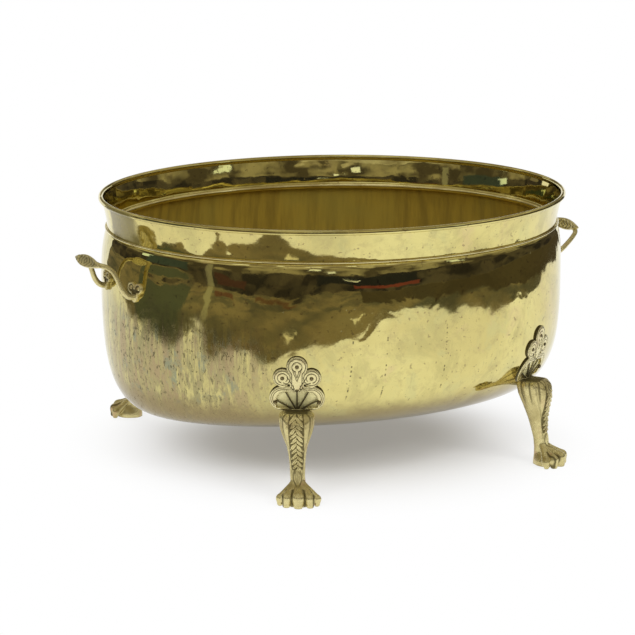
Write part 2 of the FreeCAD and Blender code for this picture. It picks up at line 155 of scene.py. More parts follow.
def bowl_profile(growth):
    """Rows of (end inset, flank inset, level) from the underside's edge to the throat."""
    rows = []
    for turn in np.linspace(math.pi / 2, 0, CORNER_ROWS):
        run = max(math.cos(turn), 0) ** (2 / CORNER_POWER)
        rise = math.sin(turn) ** (2 / CORNER_POWER)
        rows.append((BELLY_INSET + END_INSET - (END_INSET + growth) * run,
                     BELLY_INSET + FLANK_INSET - (FLANK_INSET + growth) * run,
                     BELLY - (CORNER_HEIGHT + growth) * rise))
    for turn in np.linspace(0, math.pi / 2, SHOULDER_ROWS)[1:]:
        run = max(math.cos(turn), 0) ** (2 / SHOULDER_POWER)
        rise = math.sin(turn) ** (2 / SHOULDER_POWER)
        inset = THROAT_INSET - (SHOULDER_INSET + growth) * run
        rows.append((inset, inset, BELLY + (SHOULDER_HEIGHT + growth) * rise))
    return rows


def even_rows(rows, spacing):
    """The same profile with rows about evenly spaced along it."""
    rows = np.array(rows)
    step = np.linalg.norm(np.diff(rows[:, 1:], axis=0), axis=1)
    along = np.concatenate([[0], np.cumsum(step)])
    places = np.linspace(0, along[-1], int(along[-1] / spacing) + 2)
    return np.stack([np.interp(places, along, rows[:, k]) for k in range(3)], 1)


LOW_WAVES = ripples(11, 14, 95, 210)
MID_WAVES = ripples(5, 22, 34, 70)
FINE_WAVES = ripples(23, 40, 9, 20)
BOWL_HAMMER = (0.42, 0.080, 0.007)
NECK_HAMMER = (0.10, 0.075, 0.004)


def hammered(arc, level, low, mid, fine):
    """The uneven skin that raising a sheet with a hammer leaves, in millimetres."""
    return (low * LOW_WAVES(arc, level) + mid * MID_WAVES(arc, level)
            + fine * FINE_WAVES(arc, level))


def sheet_points(rows, wave, strength=1.0):
    """Points of an oval sheet given row by row, moved by the wave at right angles to it."""
    rows = np.asarray(rows)
    a = HALF_LONG - rows[:, 0][:, None]
    b = HALF_WIDE - rows[:, 1][:, None]
    x = a * np.cos(ROUND)
    y = b * np.sin(ROUND)
    z = np.broadcast_to(rows[:, 2][:, None], x.shape)
    points = np.stack([x, y, z], -1)
    along = np.roll(points, -1, 1) - np.roll(points, 1, 1)
    up = np.gradient(points, axis=0)
    square = np.cross(along, up)
    square /= np.linalg.norm(square, axis=-1, keepdims=True) + 1e-9
    height = wave(ROUND[None, :] * MEAN_RADIUS, z) * strength
    return points + square * height[..., None]


def bowl_wave(arc, level):
    fade = smooth_step(level, FLOOR_GAP - 2, FLOOR_GAP + 30) * (
        1 - smooth_step(level, THROAT - 22, THROAT - 6))
    return hammered(arc, level, *BOWL_HAMMER) * fade


def make_bowl():
    outer = even_rows(bowl_profile(0), OUTER_SPACING)
    collar = [(THROAT_INSET, THROAT_INSET, THROAT + h) for h in (1, 2, 3, 3.5)]
    inner = even_rows(bowl_profile(-GAUGE), INNER_SPACING)
    lip = [(THROAT_INSET + thick, THROAT_INSET + thick, THROAT + h)
           for thick, h in ((0.15, 3.5), (0.6, 2.0), (GAUGE, 0))]
    shares = np.linspace(0.02, 1, 16)[:-1]

    def floor_rows(edge):
        """The flat underside, drawn in to the middle."""
        a, b = HALF_LONG - edge[0], HALF_WIDE - edge[1]
        return [(HALF_LONG - a * s, HALF_WIDE - b * s, edge[2]) for s in shares]

    out_rows = np.array(floor_rows(outer[0]) + list(map(tuple, outer)) + collar)
    in_rows = np.array(lip + list(map(tuple, inner[::-1])) + floor_rows(inner[0])[::-1])
    out_points = sheet_points(out_rows, bowl_wave)
    in_points = sheet_points(in_rows, bowl_wave, -1.0)
    points = np.concatenate([out_points.reshape(-1, 3), in_points.reshape(-1, 3)])
    rows = len(out_rows) + len(in_rows)
    faces = skin_faces(rows, closed=False)
    under, over = len(points), len(points) + 1
    points = np.concatenate([points, [[0, 0, outer[0][2]], [0, 0, inner[0][2]]]])
    last = (rows - 1) * AROUND
    for here in range(AROUND):
        after = (here + 1) % AROUND
        faces += [(under, after, here), (over, last + here, last + after)]
    piece = mesh_object("bowl_skin", points, faces)
    inside = np.zeros(len(points))
    inside[len(out_rows) * AROUND:-2] = 1
    inside[-1] = 1
    set_share(piece, "inside", inside)
    set_share(piece, "painted_reflection_behind_fan", behind_fans(points) * (1 - inside))
    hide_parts("bowl")
    return piece


def make_neck():
    """The flared neck with its rolled rim, one closed sheet."""
    top_inset = 1.2 * ROLL_RADIUS
    top_level = RIM - ROLL_RADIUS - 0.65 * ROLL_RADIUS

    def flare(share, thick=0.0):
        inset = NECK_FOOT + (top_inset - NECK_FOOT) * share ** 1.6 + thick
        return inset, THROAT + (top_level - THROAT) * share

    shares = np.linspace(0, 1, 26)
    foot = [(NECK_FOOT + GAUGE, THROAT - 0.2), (NECK_FOOT + 0.3, THROAT - 0.35)]
    roll = [(ROLL_RADIUS - ROLL_RADIUS * math.cos(turn),
             RIM - ROLL_RADIUS + ROLL_RADIUS * math.sin(turn))
            for turn in np.linspace(-0.62 * math.pi, 1.22 * math.pi, 34)]
    rows = foot + [flare(s) for s in shares] + roll + [flare(s, GAUGE) for s in shares[::-1]]
    rows = np.array([(inset, inset, level) for inset, level in rows])

    def wave(arc, level):
        fade = smooth_step(level, THROAT + 2, THROAT + 9) * (
            1 - smooth_step(level, RIM - 9, RIM - 5))
        return hammered(arc, level * 1.6, *NECK_HAMMER) * fade

    points = sheet_points(rows, wave)
    piece = mesh_object("neck_skin", points.reshape(-1, 3), skin_faces(len(points)))
    inside = np.zeros(points.shape[:2])
    inside[len(foot) + len(shares) + len(roll) // 2:] = 1
    set_share(piece, "inside", inside.ravel())
    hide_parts("neck_band")
    return piece


def make_wire(name, node, radius, inset, level):
    """A round wire soldered round the pot."""
    turns = np.linspace(0, 2 * math.pi, 15)[:-1]
    rows = [(inset - radius * math.cos(turn), inset - radius * math.cos(turn),
             level + radius * math.sin(turn)) for turn in turns]
    points = sheet_points(rows, lambda arc, z: np.zeros(z.shape))
    piece = mesh_object(name, points.reshape(-1, 3), skin_faces(len(points)))
    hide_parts(node)
    return piece


# ------------------------------------------------------------------- carved castings
def carve(low, high, step, field):
    """The skin of a solid given by its distance field on a box, as points and faces."""
    axes = [np.arange(lo, hi + step, step, dtype=np.float32) for lo, hi in zip(low, high)]
    x, y, z = np.meshgrid(*axes, indexing="ij")
    values = field(x, y, z).astype(np.float32)
    grid = openvdb.FloatGrid()
    grid.background = 1.0
    grid.copyFromArray(np.ascontiguousarray(np.clip(values, -1.0, 1.0)))
    points, quads = grid.convertToQuads(isovalue=0.0)
    return np.asarray(points, float) * step + np.array(low), np.asarray(quads)


def segment(x, y, start, end):
    """Distance to a straight line between two points, on a plane."""
    (x0, y0), (x1, y1) = start, end
    dx, dy = x1 - x0, y1 - y0
    t = np.clip(((x - x0) * dx + (y - y0) * dy) / (dx * dx + dy * dy), 0, 1)
    return np.hypot(x - x0 - t * dx, y - y0 - t * dy)


def groove(distance, width):
    """1 in the middle of a cut line and 0 beside it."""
    return np.clip(1 - distance / width, 0, 1)


# the palmette, over its foot: centres of the middle and the side lobe, top of the fan
EYE, LOBE, FAN_TOP = (0, 41.8), (13, 31), 24
RIB_ANGLES = (0.0, math.radians(27.5), math.radians(60))
RIB_ROOT = -2.4
CREST_THICK = 2.7


def crest_outline(x, y):
    """Signed distance to the palmette's outline, on the plane of the wall."""
    ax = np.abs(x)
    v = y - CREST_FOOT
    top = np.hypot(ax, v - EYE[1]) - 9.6
    side = np.hypot(ax - LOBE[0], v - LOBE[1]) - 8.8
    waist = np.maximum(ax - 6.4, np.maximum(v - 42, 8 - v))
    trefoil = blend_min(np.minimum(top, side), waist, 1.5)
    fan = np.hypot(np.maximum(ax - 12.5, 0), v - 10.5) - 12.6
    fan = np.maximum(fan, -2.3 - v)
    return blend_min(trefoil, fan, 0.5)


def rib_distance(ax, v, angle, length=29):
    end = (length * math.sin(angle), RIB_ROOT + length * math.cos(angle))
    return segment(ax, v, (0, RIB_ROOT), end)


def fan_gap(x, y):
    """Signed distance to the fan's pierced field, ribs left out; below zero is open."""
    ax = np.abs(x)
    v = y - CREST_FOOT
    field = np.hypot(np.maximum(ax - 10.4, 0), np.maximum(v - 8.4, 0) * 0.88) - 7.9
    field = np.maximum(field, 0.9 - v)
    for angle in RIB_ANGLES:
        field = blend_max(field, 0.72 - rib_distance(ax, v, angle), 0.6)
    return field


# cut lines that run down from the eyes and the lobes: points on the right half
TAILS = (((4.3, 40.6), (2.6, 35.0), (0.3, 28.6)), ((2.0, 37.8), (1.1, 35.0), (0.2, 31.6)),
         ((8.8, 32.4), (5.4, 26.6), (0.8, 17.6)), ((12.0, 26.4), (9.2, 25.4), (6.9, 23.8)),
         ((5.6, 22.0), (3.4, 19.8), (1.8, 16.6)))


def crest_relief(x, y):
    """Height of the crest over the wall, and how dark its cut lines are, with painted shade along
    its edges.
    """
    ax = np.abs(x)
    v = y - CREST_FOOT
    edge = crest_outline(x, y)
    gap = fan_gap(x, y)
    dark = np.zeros(np.broadcast(x, y).shape)
    height = np.full(dark.shape, CREST_THICK)

    def cut(distance, width, depth):
        nonlocal height, dark
        share = groove(distance, width)
        height = height - depth * share
        dark = np.maximum(dark, np.clip(share * 1.2, 0, 1))

    cut(np.where(v > FAN_TOP, np.abs(edge + 1.9), 9), 0.5, 0.4)
    for (cx, cv), low in ((EYE, 39.6), (LOBE, 28.0)):
        ring = np.hypot(ax - cx, v - cv)
        cut(np.where((v > low) | (ax > cx + 1), np.abs(ring - 4.5), 9), 0.5, 0.45)
        cut(ring, 2.3, 0.3)
    for tail in TAILS:
        for start, end in zip(tail[:-1], tail[1:]):
            cut(segment(ax, v, start, end), 0.5, 0.5)
    arm = (v > 2.5) & (v < FAN_TOP) & (gap > 0.4)
    for inset in (1.7, 3.4):
        cut(np.where(arm, np.abs(edge + inset), 9), 0.45, 0.4)
    cut(np.hypot(ax - 19.6, v - 7.4), 2.1, 0.4)
    dots = (0.5 + 0.5 * np.sin(x * 5.2 + 1.5 * np.sin(y * 2.1))
            * np.sin(y * 5.0 + 1.3 * np.sin(x * 2.3)))
    band = smooth_step(edge, -2.1, -1.5) * (v > FAN_TOP)
    band = band + (np.abs(gap - 0.9) < 0.7) * (v > 10)
    dark = np.maximum(dark, np.clip(band, 0, 1) * smooth_step(dots, 0.5, 0.75) * 0.7)
    height = height - 0.6 * smooth_step(edge, -1.3, 0.2)
    # painted shade on the plate's side walls, all along its outline
    dark = np.maximum(dark, 0.85 * smooth_step(edge, -0.45, 0.0))
    for angle in RIB_ANGLES:
        rib = rib_distance(ax, v, angle, 21)
        on_rib = (gap < 1.3) & (v > -1)
        dark = np.maximum(dark, 0.95 * groove(rib, 1.9) * on_rib)
        height = height - 0.9 * groove(rib, 1.6) * (v > 3)
    return height, dark


# the shin's section, level by level, and the leaf carved down its front
SHIN_LEVELS = np.array([0, 4, 10, 16, 25, 35, 44, 51, 57, 63, 69, 75, 90])
SHIN_HALF = np.array([7.2, 7.0, 6.8, 6.7, 6.8, 7.2, 8.2, 9.6, 11.9, 14.2, 15.9, 16.2, 15.4])
SHIN_FRONT = np.array([12, 12, 11.6, 11.0, 9.8, 8.8, 8.8, 9.3, 10.4, 11.2, 11.6, 11.2, 9.0])
SHIN_BACK = np.array([-2.5, -2.3, -2.0, -2.0, -3.0, -6.0, -9, -11.8, -14.4, -17, -19.6, -21, -22])
LEAF_LEVELS = np.array([27, 31, 38, 48, 58, 68, 77, 79])
LEAF_HALF = np.array([3.9, 4.7, 5.7, 6.3, 6.8, 7.1, 6.9, 6.4])
LEAFLET_STEP, LEAFLET_SLOPE = 5.0, 1.15
RAIL_INSET, RAIL_WIDTH = 2.1, 1.0
FLUTES, FLUTE_FOOT, FLUTE_FULL = 11, 50, 68


def leaf_pattern(x, y):
    """Relief of the leaf down the shin, and how dark its hollows are from dirt and painted shade.
    """
    ax = np.abs(x)
    half = np.interp(y, LEAF_LEVELS, LEAF_HALF)
    stretch = math.hypot(1, LEAFLET_SLOPE)
    relief = np.zeros(x.shape)
    for shift in (-1, 0, 1):
        slant = y + LEAFLET_SLOPE * ax + 1.1 * np.sign(x) + 0.35 * np.sin(0.9 * y)
        number = np.round(slant / LEAFLET_STEP) + shift
        beside = (slant - number * LEAFLET_STEP) / stretch
        along = ax * stretch - LEAFLET_SLOPE * beside
        length = (half + 0.9) * (0.98 + 0.12 * np.sin(2.4 * number)) * stretch * 0.82
        share = np.clip((along + 0.6) / length, 0, 1)
        wide = 1.78 * np.sin(np.pi * share ** 0.85) ** 0.5 + 1e-3
        dome = np.clip(1 - (beside / wide) ** 2, 0, 1) * (share > 0) * (share < 1)
        vein = 0.5 * np.exp(-(beside / 0.3) ** 2) * (share > 0.12) * (share < 0.75)
        relief = np.maximum(relief, np.sqrt(dome) * (1 - vein) * (0.75 + 0.25 * share))
    on_leaf = smooth_step(y, 29.5, 31.5) * (ax < half + 1.5)
    relief = relief * on_leaf
    # dirt and painted shade in the hollows between the leaflets
    dark = smooth_step(half + 0.6 - ax, 0, 0.8) * on_leaf * (1 - smooth_step(relief, 0.2, 0.72))
    tip = np.hypot(x / 3.3, (y - 24.6) / 7.0) - 1
    on_tip = smooth_step(-tip * 3, 0.0, 0.6)
    relief = np.maximum(relief, on_tip * (0.9 - 0.35 * np.exp(-(ax / 0.5) ** 2)))
    dark = np.maximum(dark * (1 - on_tip), 0.5 * on_tip * np.exp(-(ax / 0.4) ** 2))
    dark = np.maximum(dark, groove(np.abs(tip * 3 - 0.35), 0.7) * (y < 31))
    return 1.25 * relief, dark


def shin_section(y):
    """The shin's half width, the middle of its depth and half its depth, at a level."""
    half = np.interp(y, SHIN_LEVELS, SHIN_HALF)
    front = np.interp(y, SHIN_LEVELS, SHIN_FRONT)
    back = np.interp(y, SHIN_LEVELS, SHIN_BACK)
    return half, (front + back) / 2, (front - back) / 2


def shin_shape(x, y, z):
    half, middle, deep = shin_section(y)
    size = (np.abs(x / half) ** 2.5 + np.abs((z - middle) / deep) ** 2.5) ** 0.4
    skin = (size - 1) * np.minimum(half, deep) * 0.95
    relief, _ = leaf_pattern(x[:, :, 0], y[:, :, 0])
    on_front = smooth_step(z, middle, middle + 2)
    ax = np.abs(x)
    rail = groove(np.abs(ax - (half - RAIL_INSET)), RAIL_WIDTH) * on_front * smooth_step(y, 24, 30)
    angle = np.arctan2(x, z - middle)
    beyond_leaf = smooth_step(ax, 8.0, 9.6) + (z < middle)
    flute = (0.5 - 0.5 * np.cos(FLUTES * angle)) * smooth_step(y, FLUTE_FOOT, FLUTE_FULL)
    skin = (skin - relief[:, :, None] * on_front * 0.85 + 0.35 * rail
            + 0.75 * flute * np.clip(beyond_leaf, 0, 1))
    top = KNEE_TOP - 0.05 * np.maximum(z, 0) ** 2 - 0.006 * x ** 2
    return blend_max(skin, (y - top) * 0.85, 2.6)


def shin_dark(x, y, z):
    half, middle, _ = shin_section(y)
    _, dark = leaf_pattern(x, y)
    ax = np.abs(x)
    rail = groove(np.abs(ax - half + RAIL_INSET), RAIL_WIDTH) * (y > 26)
    dark = np.maximum(dark * 0.8 * (z > 1), 0.45 * rail * (z > 1))
    angle = np.arctan2(x, z - middle)
    # dirt and painted shade in the troughs of the flutes
    flute = smooth_step(-np.cos(FLUTES * angle), 0.45, 0.95)
    flute = flute * smooth_step(y, FLUTE_FOOT, FLUTE_FULL)
    dark = np.maximum(dark, 0.6 * flute * ((ax > 8.8) | (z < 0)))
    # painted shadow of the crest's undercut, along the knee's top
    return np.maximum(dark, 0.9 * smooth_step(y, KNEE_TOP - 1.0, KNEE_TOP - 0.3) * (z < 3))


# across, how far the tip reaches out, radius, height of the knuckle's middle
TOES = ((-16.2, 20.0, 3.9, 6.6), (-10.4, 26.0, 5.0, 8.0), (0.0, 29.0, 6.0, 8.4),
        (10.4, 26.4, 4.9, 7.8), (16.2, 20.5, 3.9, 6.4))


def capsule(x, y, z, start, end, r0, r1):
    """Distance to a round bar that tapers between two points."""
    s, e = np.array(start, float), np.array(end, float)
    d = e - s
    t = np.clip(((x - s[0]) * d[0] + (y - s[1]) * d[1] + (z - s[2]) * d[2]) / (d @ d), 0, 1)
    gap = np.sqrt((x - s[0] - t * d[0]) ** 2 + (y - s[1] - t * d[1]) ** 2
                  + (z - s[2] - t * d[2]) ** 2)
    return gap - (r0 + (r1 - r0) * t)


def paw_shape(x, y, z):
    body = np.full(x.shape, 50.0, np.float32)
    for across, reach, radius, rise in TOES:
        knuckle = (across, rise, reach - radius)
        bone = capsule(x, y, z, (across * 0.36, 17.0, 8.4), knuckle, 2.2 + radius * 0.1, radius)
        tip = capsule(x, y, z, knuckle, (across * 1.02, 2.4, reach - radius * 0.75),
                      radius * 0.96, radius * 0.72)
        body = blend_min(body, blend_min(bone, tip, 1.6), 0.7)
    ball = np.sqrt((x / 12.6) ** 2 + ((y - 3) / 11.0) ** 2 + ((z - 11) / 12.5) ** 2) - 1
    body = blend_min(body, ball * 10.0, 2.0)
    return np.maximum(body, -y)


def paw_dark(x, y, z):
    gaps = np.zeros(x.shape)
    for left, right in zip(TOES[:-1], TOES[1:]):
        share = 0.5 + 0.5 * smooth_step(z, 8, 22)
        middle = (left[0] + left[2] + right[0] - right[2]) / 2 * share
        gaps = np.maximum(gaps, np.exp(-((x - middle) / 1.1) ** 2) * (z > 9) * (y < 15))
    # dirt and painted shade between the toes, and painted shade where the paw meets the floor
    return np.maximum(gaps * 0.8, 0.35 * (y < 1.0))


def leg_field(centre, across, out):
    """A leg's distance field: along the wall, up and outward are its axes."""
    def field(x, y, z):
        px = centre[0] + across[0] * x + out[0] * z
        py = centre[1] + across[1] * x + out[1] * z
        wall = wall_distance(px, py, y)
        plane_x, plane_y = x[:, :, 0], y[:, :, 0]
        height, _ = crest_relief(plane_x, plane_y)
        plan = np.maximum(crest_outline(plane_x, plane_y), -fan_gap(plane_x, plane_y))
        plate = blend_max(plan[:, :, None], wall - height[:, :, None], 0.6)
        plate = np.maximum(plate, -wall - 0.3)
        shin = np.maximum(shin_shape(x, y, z), -wall - 0.4)
        lower = blend_min(shin, paw_shape(x, y, z), 2.2)
        return np.maximum(np.minimum(plate, lower), -y)
    return field


def leg_place():
    """Where the front left leg's plane touches the belly, and its two level axes."""
    out = np.array([-math.sin(LEG_ANGLE), -math.cos(LEG_ANGLE)])
    across = np.array([-out[1], out[0]])
    a, b = wall_axes(BELLY)
    reach = math.hypot(a * out[0], b * out[1])
    return np.array([a * a * out[0] / reach, b * b * out[1] / reach]), across, out


def behind_fans(points):
    """1 where the sheet lies behind a crest's open fan, where a painted reflection of the pale
    floor lightens it.
    """
    centre, across, out = leg_place()
    x, y, z = -np.abs(points[:, 0]), -np.abs(points[:, 1]), points[:, 2]
    side = (x - centre[0]) * across[0] + (y - centre[1]) * across[1]
    return smooth_step(-fan_gap(side, z), -2.2, -0.6)


LEG_BOX, LEG_STEP = ((-27.5, -1.5, -27), (27.5, 138, 34)), 0.42
# two legs stand bent a little sideways, most of all at the paw: millimetres
LEGS = (("leg_front_left", 1, 1, 3.0), ("leg_front_right", -1, 1, 0.0),
        ("leg_back_left", 1, -1, 1.5), ("leg_back_right", -1, -1, 0.0))


def make_legs():
    centre, across, out = leg_place()
    points, quads = carve(*LEG_BOX, LEG_STEP, leg_field(centre, across, out))
    x, y, z = points.T
    _, crest_dark = crest_relief(x, y)
    on_paw = 1 - smooth_step(y, 15, 19)
    dark = paw_dark(x, y, z) * on_paw + shin_dark(x, y, z) * (1 - on_paw)
    dark = np.where(y > CREST_FOOT - 0.7, crest_dark, dark)
    pieces = []
    for node, sx, sy, bend in LEGS:
        side = x + bend * (0.5 * (1 - smooth_step(y, 20, 82)) + 0.5 * (1 - smooth_step(y, 8, 26)))
        px = centre[0] + across[0] * side + out[0] * z
        py = centre[1] + across[1] * side + out[1] * z
        moved = np.stack([px * sx, py * sy, y], -1)
        turned = quads[:, ::-1] if sx * sy > 0 else quads
        piece = mesh_object(node + "_casting", moved, turned)
        set_share(piece, "grime_and_shade", dark)
        set_share(piece, "crest", smooth_step(y, CREST_FOOT - 1, CREST_FOOT))
        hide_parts(node)
        pieces.append(piece)
    return pieces


# --------------------------------------------------------------------------- handles
GRIP_HALF = 25.0
HANDLE_BOX, HANDLE_STEP = ((214, -44, 156), (281, 44, 214)), 0.45
# out from the middle of the pot, across, up: one arm from its foot to the grip's end
LEFT_ARM = [(224, 30, 171.0), (233, 30, 172.2), (239.0, 29.4, 178.5), (242.8, 28.3, 187.5),
            (246.5, 26.9, 195.0), (251.5, 24.8, 199.8), (256.5, 22.0, 201.6), (260.5, 17.0, 202.6)]
RIGHT_ARM = [(224, 30, 163.5), (235, 29.9, 166.0), (247.5, 28.8, 171.6), (256, 27.2, 177.0),
             (263.5, 25.2, 182.4), (268.6, 22.6, 186.6), (271.0, 17.0, 189.4)]


def smooth_path(points, count=5):
    """More points on a soft curve through the given ones."""
    p = np.array(points, float)
    p = np.concatenate([[2 * p[0] - p[1]], p, [2 * p[-1] - p[-2]]])
    result = []
    for k in range(1, len(p) - 2):
        for t in np.linspace(0, 1, count, endpoint=False):
            result.append(0.5 * (2 * p[k] + (p[k + 1] - p[k - 1]) * t
                                 + (2 * p[k - 1] - 5 * p[k] + 4 * p[k + 1] - p[k + 2]) * t ** 2
                                 + (3 * p[k] - p[k - 1] - 3 * p[k + 1] + p[k + 2]) * t ** 3))
    return result + [p[-2]]


def pad_plan(y, z):
    """Outline of a handle's foot on the wall: two lobes over a pointed tip."""
    py, pz = np.abs(y) - PAD_ACROSS, z - PAD_LEVEL
    lobes = np.hypot(np.abs(py) - 5.0, pz - 3.2) - 4.9
    tip = np.hypot(py, pz + 8.4) - 1.6
    leaf = np.maximum(np.abs(py) - (2.2 + 0.30 * (pz + 9)), np.abs(pz + 2.4) - 6.0)
    return blend_min(np.minimum(lobes, tip), leaf, 2.0)


def grip_plan(ay, along):
    """Signed distance to the grip's leaf outline, the leaf's veins and its half width."""
    share = np.clip(ay / GRIP_HALF, 0, 1)
    half = 4.9 * np.maximum(np.cos(share * np.pi / 2), 0) ** 0.95 + 0.8
    veins = np.cos(2 * np.pi * (ay + 0.9 * np.abs(along)) / 5.4)
    return np.abs(along) - half, veins, half


def handle_field(arm, slope, middle):
    """A handle's distance field: out, across (both ways) and up are its axes."""
    lean = np.array([math.cos(slope), math.sin(slope)])
    path = smooth_path(arm)

    def field(x, y, z):
        ay = np.abs(y)
        body = np.full(x.shape, 50.0, np.float32)
        for number, (start, end) in enumerate(zip(path[:-1], path[1:])):
            radius = 2.7 - 0.5 * smooth_step(number / len(path), 0.0, 0.6)
            body = blend_min(body, capsule(x, ay, z, start, end, radius, radius), 0.4)
        along = (x - middle[0]) * lean[0] + (z - middle[1]) * lean[1]
        deep = (x - middle[0]) * -lean[1] + (z - middle[1]) * lean[0]
        plan, veins, half = grip_plan(ay, along)
        rim = np.exp(-((np.abs(along) - half + 1.0) / 0.8) ** 2)
        dish = 0.03 * along ** 2 - 0.6 - 0.002 * ay ** 2
        blade = np.abs(deep - dish) - (1.35 + 0.55 * rim - 0.16 * smooth_step(-veins, 0.3, 1))
        leaf = blend_max(blade, plan, 0.9)
        leaf = blend_max(leaf, ay - GRIP_HALF, 0.8)
        body = blend_min(body, leaf, 1.8)
        wall = wall_distance(x, y, z)
        pad_edge = pad_plan(y, z)
        rise = 2.6 - 1.1 * smooth_step(-pad_edge, 1.0, 2.2)
        pad = np.maximum(blend_max(pad_edge, wall - rise, 0.5), -wall - 0.3)
        body = blend_min(body, pad, 1.2)
        return np.maximum(body, -wall - 0.4)
    return field


def make_handle(node, side, arm, slope, middle):
    points, quads = carve(*HANDLE_BOX, HANDLE_STEP, handle_field(arm, slope, middle))
    x, y, z = points.T
    wall = wall_distance(x, y, z)
    # painted shade in the recess of the handle's foot, against the wall
    dark = 0.95 * smooth_step(-pad_plan(y, z), 0.8, 1.8) * (wall < 2.2)
    along = (x - middle[0]) * math.cos(slope) + (z - middle[1]) * math.sin(slope)
    plan, veins, _ = grip_plan(np.abs(y), along)
    on_leaf = (np.abs(y) < GRIP_HALF - 2) * (x > middle[0] - 9) * (plan < -0.3)
    # dark veins on the leaf, and painted shade in its dish
    dark = np.maximum(dark, on_leaf * (0.4 * smooth_step(-veins, 0.35, 0.95)
                                       + 0.25 * smooth_step(-plan, 0.9, 1.6)))
    dark = np.maximum(dark, 0.22)
    turned = quads[:, ::-1] if side > 0 else quads
    piece = mesh_object(node + "_casting", points * (side, 1, 1), turned)
    set_share(piece, "grime_and_shade", dark)
    set_share(piece, "crest", np.full(len(points), 0.15))
    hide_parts(node)
    return piece


# ------------------------------------------------------------------------- materials
def rgba(color):
    return color if isinstance(color, bpy.types.NodeSocket) else (*color, 1)


class Paint:
    """Builds the node tree of a material, or of the world, with short calls."""

    def __init__(self, name, kind="Material"):
        self.owner = (bpy.data.worlds if kind == "World" else bpy.data.materials).new(name)
        self.owner.use_nodes = True
        self.tree = self.owner.node_tree
        self.tree.nodes.clear()
        self.output = self.node("ShaderNodeOutput" + kind)
        self.coords = self.node("ShaderNodeTexCoord").outputs["Object"]

    def node(self, kind, **settings):
        item = self.tree.nodes.new(kind)
        for key, value in settings.items():
            setattr(item, key, value)
        return item

    def feed(self, socket, value):
        if isinstance(value, bpy.types.NodeSocket):
            self.tree.links.new(value, socket)
        else:
            socket.default_value = value

    def math(self, operation, a, b=0.0, clamp=False):
        item = self.node("ShaderNodeMath", operation=operation, use_clamp=clamp)
        self.feed(item.inputs[0], a)
        self.feed(item.inputs[1], b)
        return item.outputs[0]

    def times(self, value, *others):
        for other in others:
            value = self.math("MULTIPLY", value, other)
        return value

    def plus(self, value, share, strength):
        """A value with part of a share added to it."""
        return self.math("ADD", value, self.math("MULTIPLY", share, strength))

    def noise(self, scale, detail=4.0, rough=0.55, warp=0.0, stretch=None):
        item = self.node("ShaderNodeTexNoise")
        vector = self.coords
        if stretch is not None:
            mapping = self.node("ShaderNodeMapping")
            mapping.inputs["Scale"].default_value = stretch
            self.feed(mapping.inputs["Vector"], vector)
            vector = mapping.outputs[0]
        self.feed(item.inputs["Vector"], vector)
        item.inputs["Scale"].default_value = scale
        item.inputs["Detail"].default_value = detail
        item.inputs["Roughness"].default_value = rough
        item.inputs["Distortion"].default_value = warp
        return item.outputs[0]

    def cells(self, scale):
        item = self.node("ShaderNodeTexVoronoi")
        self.feed(item.inputs["Vector"], self.coords)
        item.inputs["Scale"].default_value = scale
        return item.outputs["Distance"]

    def ramp(self, value, low, high, out_low=0.0, out_high=1.0, kind="SMOOTHSTEP"):
        item = self.node("ShaderNodeMapRange", interpolation_type=kind)
        for index, entry in enumerate((value, low, high, out_low, out_high)):
            self.feed(item.inputs[index], entry)
        return item.outputs[0]

    def share(self, name):
        return self.node("ShaderNodeAttribute", attribute_name=name).outputs["Fac"]

    def mix(self, share, a, b):
        item = self.node("ShaderNodeMix", data_type="RGBA")
        self.feed(item.inputs[0], share)
        self.feed(item.inputs[6], rgba(a))
        self.feed(item.inputs[7], rgba(b))
        return item.outputs[2]

    def lay(self, color, tone, share, strength):
        """A tone laid over a colour where the share says so, at part strength."""
        return self.mix(self.math("MULTIPLY", share, strength), color, tone)

    def axis(self, letter):
        item = self.node("ShaderNodeSeparateXYZ")
        self.feed(item.inputs[0], self.coords)
        return item.outputs[letter]

    def bump(self, height, strength, distance, below=None):
        item = self.node("ShaderNodeBump")
        self.feed(item.inputs["Strength"], strength)
        item.inputs["Distance"].default_value = distance
        self.feed(item.inputs["Height"], height)
        if below is not None:
            self.feed(item.inputs["Normal"], below)
        return item.outputs[0]

    def seen(self):
        """1 for a look at the thing or at its mirror image, 0 for the light it sheds."""
        path = self.node("ShaderNodeLightPath").outputs
        looks = self.math("MAXIMUM", path["Is Camera Ray"], path["Is Glossy Ray"])
        return self.math("MAXIMUM", looks, path["Is Transmission Ray"])

    def glow(self, color):
        item = self.node("ShaderNodeEmission")
        self.feed(item.inputs["Color"], rgba(color))
        return item

    def surface(self, shader):
        self.feed(self.output.inputs["Surface"], shader.outputs[0])
        return self.owner

    def finish(self, color, rough, normal, metal=1.0):
        shader = self.node("ShaderNodeBsdfPrincipled")
        self.feed(shader.inputs["Base Color"], color)
        self.feed(shader.inputs["Metallic"], metal)
        self.feed(shader.inputs["Roughness"], rough)
        self.feed(shader.inputs["Normal"], normal)
        return self.surface(shader)


BRIGHT = (0.76, 0.672, 0.262)
WARM = (0.66, 0.565, 0.215)
# layers of tarnish: noise, where it starts and is full, strength, tone
TARNISH = (((24, 4, 0.6, 0.8), 0.58, 0.74, 0.50, (0.66, 0.50, 0.27)),
           ((55, 5, 0.7), 0.60, 0.72, 0.35, (0.40, 0.34, 0.17)),
           ((17, 6, 0.66, 0.9), 0.47, 0.64, 0.55, (0.50, 0.445, 0.18)),
           ((85, 5, 0.7, 0.5), 0.50, 0.66, 0.32, (0.46, 0.38, 0.17)),
           ((210, 3, 0.6), 0.64, 0.68, 0.55, (0.24, 0.18, 0.09)))
PIT_ROWS = (-0.086, -0.055, 0.004)


